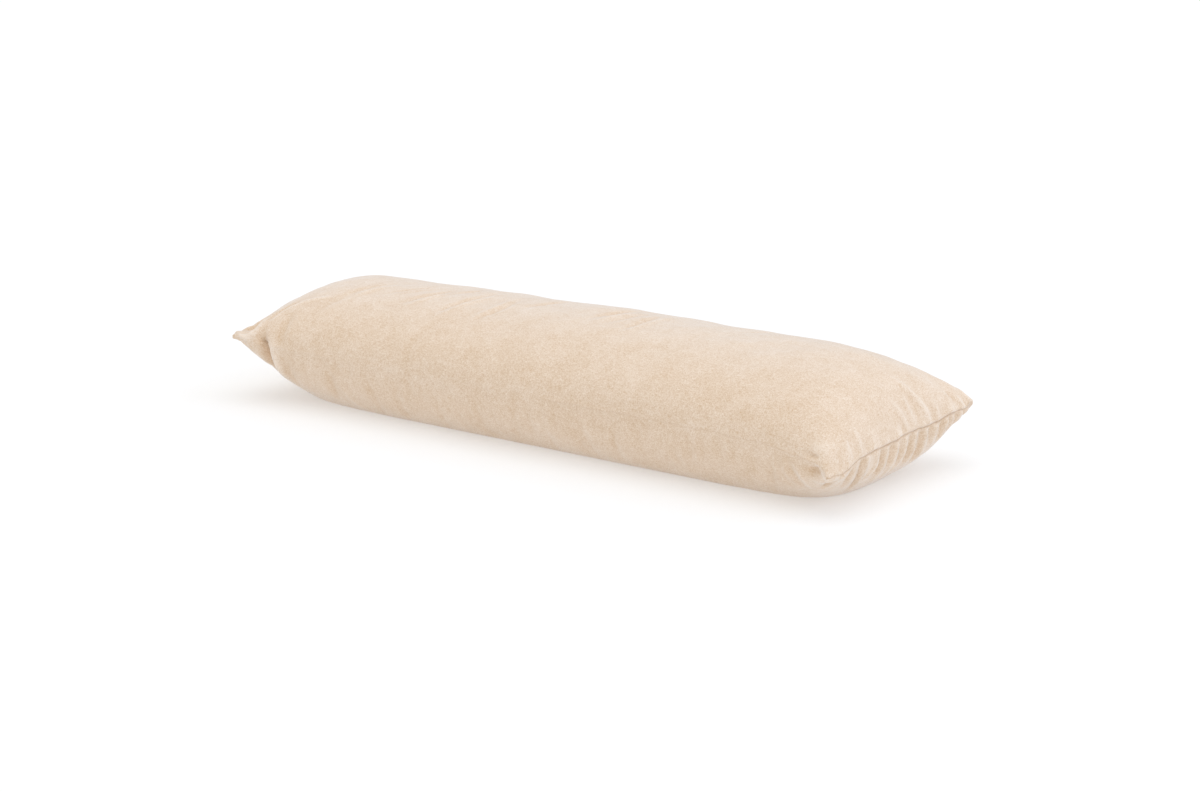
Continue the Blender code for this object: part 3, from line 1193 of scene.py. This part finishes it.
    def panel_mesh(self, side: Side) -> bpy.types.Mesh:
        """One panel as a grid moved to where its cloth lies, with the attributes that its finish reads.

        Args:
            side: The panel.

        Returns:
            Its mesh, which isn't in the scene yet.
        """
        lines = (self.lines(0), self.lines(1))
        columns, rows = (len(places) - 1 for places in lines)
        grid = bmesh.new()
        bmesh.ops.create_grid(grid, x_segments=columns, y_segments=rows, size=1.0)
        if side is Side.UNDER:
            bmesh.ops.reverse_faces(grid, faces=grid.faces)
        mesh = bpy.data.meshes.new(f"{side.value}_panel")
        grid.to_mesh(mesh)
        grid.free()
        share = (vertex_places(mesh) + 1) / 2
        column = np.rint(share[:, 0] * columns).astype(int)
        row = np.rint(share[:, 1] * rows).astype(int)
        panel = Panel(self.form, side, (lines[0][column], lines[1][row]))
        mesh.vertices.foreach_set("co", self.folded_points(panel).ravel())
        which_panel = np.full_like(panel.from_rim, 0.0 if side is Side.TOP else 1.0)
        # The folds' attribute holds their painted shade and highlight.
        for name, kind, key, values in (
            (CUT_PLACE, "FLOAT_VECTOR", "vector", np.stack([*panel.cut, which_panel], axis=-1).ravel()),
            (SEAM_SHADE, "FLOAT", "value", self.seam_shade(panel)),
            (FOLD_SHADE_AND_WEAR, "FLOAT", "value", self.shade_and_wear(panel)),
        ):
            mesh.attributes.new(name, kind, "POINT").data.foreach_set(key, values)
        return mesh

    def build(self) -> bpy.types.Object:
        """Welds both panels along the seam into one closed object, where the part's solid stands.

        Returns:
            The cover, in the scene.
        """
        body = bmesh.new()
        for side in Side:
            panel = self.panel_mesh(side)
            body.from_mesh(panel)
            bpy.data.meshes.remove(panel)
        bmesh.ops.remove_doubles(body, verts=body.verts, dist=self.weld)
        mesh = bpy.data.meshes.new("pillow_cover")
        body.to_mesh(mesh)
        body.free()
        mesh.shade_smooth()
        points = vertex_places(mesh)
        low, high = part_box(PILLOW_NODE)
        middle = (np.array(low) + np.array(high)) / 2 - (points.min(axis=0) + points.max(axis=0)) / 2
        points += (middle[0], middle[1], 0.0)
        mesh.vertices.foreach_set("co", points.ravel())
        cover = bpy.data.objects.new("pillow_cover", mesh)
        bpy.context.scene.collection.objects.link(cover)
        log.info("%s: %d faces", cover.name, len(mesh.polygons))
        return cover

    def dress(self, cover: bpy.types.Object, finish: "BrushedCloth") -> None:
        """Gives the cover its cloth and ties it to the part.

        Args:
            cover: The cover.
            finish: Its cloth.
        """
        cover.data.materials.append(finish.material())
        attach(cover, "root")
        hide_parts(PILLOW_NODE)


# Shader maths

Value = Union[float, Sequence[float], "Wire"]


class Wire:
    """One shader socket, with operators that add Math nodes behind it."""

    def __init__(self, nodes: "NodeBench", socket: bpy.types.NodeSocket) -> None:
        """Holds the socket and the bench that adds its nodes."""
        self.nodes = nodes
        self.socket = socket

    def maths(self, operation: str, *values: Value) -> "Wire":
        """A Math node with this operation on the given values."""
        return self.nodes.add("ShaderNodeMath", {"operation": operation}, dict(enumerate(values)))

    def __add__(self, other: Value) -> "Wire":
        """self + other."""
        return self.maths("ADD", self, other)

    def __radd__(self, other: Value) -> "Wire":
        """other + self."""
        return self.maths("ADD", other, self)

    def __sub__(self, other: Value) -> "Wire":
        """self - other."""
        return self.maths("SUBTRACT", self, other)

    def __rsub__(self, other: Value) -> "Wire":
        """other - self."""
        return self.maths("SUBTRACT", other, self)

    def __mul__(self, other: Value) -> "Wire":
        """self * other."""
        return self.maths("MULTIPLY", self, other)

    def __rmul__(self, other: Value) -> "Wire":
        """other * self."""
        return self.maths("MULTIPLY", other, self)

    def sine(self) -> "Wire":
        """The sine of this value in radians."""
        return self.maths("SINE", self)


class NodeBench:
    """Adds nodes to one material or world and links them."""

    def __init__(self, owner: Union[bpy.types.Material, bpy.types.World]) -> None:
        """Clears the owner's nodes and keeps its tree."""
        owner.use_nodes = True
        self.tree = owner.node_tree
        self.tree.nodes.clear()

    def add(self, kind: str, settings: Optional[Mapping[str, object]] = None,
            sockets: Optional[Mapping[Union[int, str], Value]] = None,
            output: Union[int, str] = 0) -> Optional[Wire]:
        """Adds a node, sets it up and returns one of its outputs.

        Args:
            kind: The node's type.
            settings: The node's own settings, which are set first.
            sockets: A value or a wire for each input.
            output: Which output is returned.

        Returns:
            The output as a wire, or None from a node that has none.
        """
        node = self.tree.nodes.new(kind)
        for name, setting in (settings or {}).items():
            setattr(node, name, setting)
        for name, value in (sockets or {}).items():
            if isinstance(value, Wire):
                self.tree.links.new(value.socket, node.inputs[name])
            else:
                node.inputs[name].default_value = value
        return Wire(self, node.outputs[output]) if node.outputs else None

    def mix_colour(self, share: Value, first: Value, second: Value) -> Wire:
        """Mixes two colours by a share from 0 to 1."""
        return self.add("ShaderNodeMix", {"data_type": "RGBA"}, {0: share, 6: first, 7: second}, 2)

    def noise(self, where: Wire, pattern: "NapPattern") -> Wire:
        """Fractal noise from 0 to 1.

        Args:
            where: The places.
            pattern: The noise's size and strength.

        Returns:
            The noise.
        """
        return self.add("ShaderNodeTexNoise", {"noise_dimensions": "3D"}, {
            "Vector": where,
            "Scale": pattern.scale,
            "Detail": pattern.detail,
            "Roughness": pattern.roughness,
        })


@dataclass(frozen=True)
class NapPattern:
    """One size of the unevenness in how the nap lies.

    Args:
        scale: How fine it is, in turns for each metre.
        detail: How many finer octaves it has.
        roughness: How strong each finer octave is beside the one before.
        tone: How strongly it shades the cloth.
    """

    scale: float
    detail: float
    roughness: float
    tone: float


@dataclass(frozen=True)
class BrushedCloth:
    """Pale beige cotton, brushed to a short nap that clouds and glints softly.

    Args:
        deep_colour: The colour where the nap lies away from the light, and of the painted shade in the
            folds' troughs.
        pale_colour: The colour where it is brushed up, and of the painted highlight on the folds' ridges.
        seam_colour: The colour down in the closure seam.
        clouds, patches, specks, grain: The nap's unevenness, from broad to fine.
        fold_shading_tone: How much paler the folds' ridges are painted, as highlight and rubbed nap, and
            how much darker their troughs, as painted shade.
        seam_tone: How strongly the seams are shaded.
        twill_pitch, twill_run: The pitch of the weave's ribs and the direction across them.
        grain_relief, patch_relief, twill_relief: Each one's share of the bump.
        bump_strength, bump_height: The bump's strength and height.
        specular, roughness: How much the fibres gleam, and how softly.
        sheen, sheen_roughness: The haze of fine fibres that shows at grazing angles.
    """

    deep_colour: Colour = (0.645, 0.452, 0.278, 1.0)
    pale_colour: Colour = (0.900, 0.773, 0.652, 1.0)
    seam_colour: Colour = (0.520, 0.335, 0.190, 1.0)
    clouds: NapPattern = NapPattern(scale=16.0, detail=6.0, roughness=0.55, tone=0.42)
    patches: NapPattern = NapPattern(scale=60.0, detail=5.0, roughness=0.60, tone=0.45)
    specks: NapPattern = NapPattern(scale=190.0, detail=2.0, roughness=0.60, tone=0.54)
    grain: NapPattern = NapPattern(scale=480.0, detail=3.0, roughness=0.70, tone=2.15)
    fold_shading_tone: float = 0.50
    seam_tone: float = 0.50
    twill_pitch: float = 0.0016
    twill_run: Point = (0.82, 0.57, 0.0)
    grain_relief: float = 0.7
    patch_relief: float = 0.6
    twill_relief: float = 0.05
    bump_strength: float = 0.48
    bump_height: float = 0.0012
    specular: float = 0.25
    roughness: float = 0.92
    sheen: float = 0.75
    sheen_roughness: float = 0.45

    def material(self) -> bpy.types.Material:
        """Makes the cloth's material.

        Returns:
            The material.
        """
        material = bpy.data.materials.new("brushed_beige_cloth")
        bench = NodeBench(material)
        where = bench.add("ShaderNodeTexCoord", output="Object")
        cut = bench.add("ShaderNodeAttribute", {"attribute_name": CUT_PLACE}, output="Vector")
        seam = bench.add("ShaderNodeAttribute", {"attribute_name": SEAM_SHADE}, output="Fac")
        # The folds' painted shading: painted highlight and rubbed nap on ridges, painted shade in troughs.
        fold_shading = bench.add("ShaderNodeAttribute", {"attribute_name": FOLD_SHADE_AND_WEAR}, output="Fac")

        clouds, patches, specks, grain = (
            bench.noise(where, pattern) - 0.5
            for pattern in (self.clouds, self.patches, self.specks, self.grain)
        )
        tone = 0.5 + clouds * self.clouds.tone + patches * self.patches.tone
        # The fold shading paints ridges paler as highlight and troughs darker as shade.
        tone = tone + specks * self.specks.tone + grain * self.grain.tone + fold_shading * self.fold_shading_tone
        shade = bench.mix_colour(tone, self.deep_colour, self.pale_colour)
        shade = bench.mix_colour(seam * self.seam_tone, shade, self.seam_colour)

        turned = bench.add("ShaderNodeVectorMath", {"operation": "DOT_PRODUCT"},
                           {0: cut, 1: self.twill_run}, output="Value")
        twill = (turned * (2 * math.pi / self.twill_pitch)).sine()
        nap = grain * self.grain_relief + patches * self.patch_relief + twill * self.twill_relief
        bump = bench.add("ShaderNodeBump", sockets={
            "Strength": self.bump_strength, "Distance": self.bump_height, "Height": nap,
        })
        shader = bench.add("ShaderNodeBsdfPrincipled", sockets={
            "Base Color": shade,
            "Roughness": self.roughness,
            "Sheen Weight": self.sheen,
            "Sheen Roughness": self.sheen_roughness,
            "Specular IOR Level": self.specular,
            "Normal": bump,
        })
        bench.add("ShaderNodeOutputMaterial", sockets={"Surface": shader})
        return material


# The studio

@dataclass(frozen=True)
class SoftLight:
    """One very soft light that is even all over the floor, like a bank of diffusers far away.

    Args:
        name: The light's name.
        towards: Where the light stands, as a direction from the pillow.
        spread: How wide the light looks from the pillow, in degrees.
        strength: Its power in watts for each square metre.
        colour: Its red, green and blue, where 1 is plain white.
        distance: How far from the pillow it stands, which changes nothing in its light.
    """

    name: str
    towards: Point
    spread: float
    strength: float
    colour: Point = (1.0, 1.0, 1.0)
    distance: float = 3.0

    def build(self) -> None:
        """Makes the light, pointed at the pillow."""
        light = bpy.data.lights.new(self.name, "SUN")
        light.angle = math.radians(self.spread)
        light.energy = self.strength
        light.color = self.colour
        lamp = bpy.data.objects.new(self.name, light)
        lamp.location = Vector(self.towards) * self.distance
        lamp.rotation_euler = (-Vector(self.towards)).to_track_quat("-Z", "Y").to_euler()
        bpy.context.scene.collection.objects.link(lamp)


@dataclass(frozen=True)
class Studio:
    """A pale floor under even light from all round, brighter from above and from the right.

    Args:
        white: The light's colour from all round.
        floor_size: The floor's length and width, in metres.
        floor_colour, floor_roughness, floor_glow: The floor's finish, with a little light of its own.
        world_strength: How strong the light from all round is.
        lights: The softer lights on top of that.
    """

    white: Colour = (1.0, 1.0, 1.0, 1.0)
    floor_size: float = 30.0
    floor_colour: Colour = (0.62, 0.62, 0.62, 1.0)
    floor_roughness: float = 0.9
    floor_glow: float = 0.34
    world_strength: float = 0.755
    lights: tuple[SoftLight, ...] = (
        SoftLight("overhead_light", (0.00, -0.05, 1.0), 60.0, 0.85),
        SoftLight("right_light", (0.85, 0.55, 0.60), 50.0, 0.54, (0.85, 1.00, 1.30)),
    )

    def build(self) -> None:
        """Makes the floor, the lights and the world."""
        bpy.ops.mesh.primitive_plane_add(size=self.floor_size)
        floor = bpy.context.object
        floor.name = "studio_floor"
        material = bpy.data.materials.new("pale_floor")
        bench = NodeBench(material)
        shader = bench.add("ShaderNodeBsdfPrincipled", sockets={
            "Base Color": self.floor_colour,
            "Roughness": self.floor_roughness,
            "Emission Color": self.white,
            "Emission Strength": self.floor_glow,
        })
        bench.add("ShaderNodeOutputMaterial", sockets={"Surface": shader})
        floor.data.materials.append(material)
        for light in self.lights:
            light.build()
        world = bpy.data.worlds.new("soft_world")
        bench = NodeBench(world)
        background = bench.add("ShaderNodeBackground", sockets={
            "Color": self.white,
            "Strength": self.world_strength,
        })
        bench.add("ShaderNodeOutputWorld", sockets={"Surface": background})
        bpy.context.scene.world = world
        bpy.context.scene.view_settings.view_transform = "Standard"
        log.info("studio: %d lights", len(self.lights))


@dataclass(frozen=True)
class PhotoCamera:
    """The camera at the photograph's viewing angle.

    Args:
        target: The point in the middle of the picture.
        azimuth, elevation: The direction that the camera looks from, in degrees.
        distance: From the target to the camera.
        focal_pixels: The focal length in the photograph's pixels.
        image_width: The photograph's width in pixels.
        sensor_width: The sensor's width, in millimetres.
        sight: How far the camera sees.
    """

    target: Point = (0.0233, 0.0196, 0.0625)
    azimuth: float = 35.53
    elevation: float = 14.82
    distance: float = 5.129
    focal_pixels: float = 2896.0
    image_width: float = 1200.0
    sensor_width: float = 36.0
    sight: float = 100.0

    def build(self) -> None:
        """Makes the camera and gives it to the scene."""
        turn, rise = math.radians(self.azimuth), math.radians(self.elevation)
        back = Vector((math.sin(turn) * math.cos(rise), -math.cos(turn) * math.cos(rise), math.sin(rise)))
        camera = bpy.data.cameras.new("photo_camera")
        camera.sensor_width = self.sensor_width
        camera.sensor_fit = "HORIZONTAL"
        camera.lens = self.sensor_width * self.focal_pixels / self.image_width
        camera.clip_end = self.sight
        view = bpy.data.objects.new("photo_camera", camera)
        view.location = Vector(self.target) + back * self.distance
        view.rotation_euler = (-back).to_track_quat("-Z", "Y").to_euler()
        bpy.context.scene.collection.objects.link(view)
        bpy.context.scene.camera = view
        log.info("photo_camera: lens %.1f mm", camera.lens)


def main() -> None:
    """Builds the camera, the studio and the pillow."""
    logging.basicConfig(level=logging.INFO, format="%(name)s: %(message)s")
    PhotoCamera().build()
    Studio().build()
    pillow = PillowCover(PillowForm(), Lumps())
    cover = pillow.build()
    pillow.dress(cover, BrushedCloth())


if __name__ == "__main__":
    main()
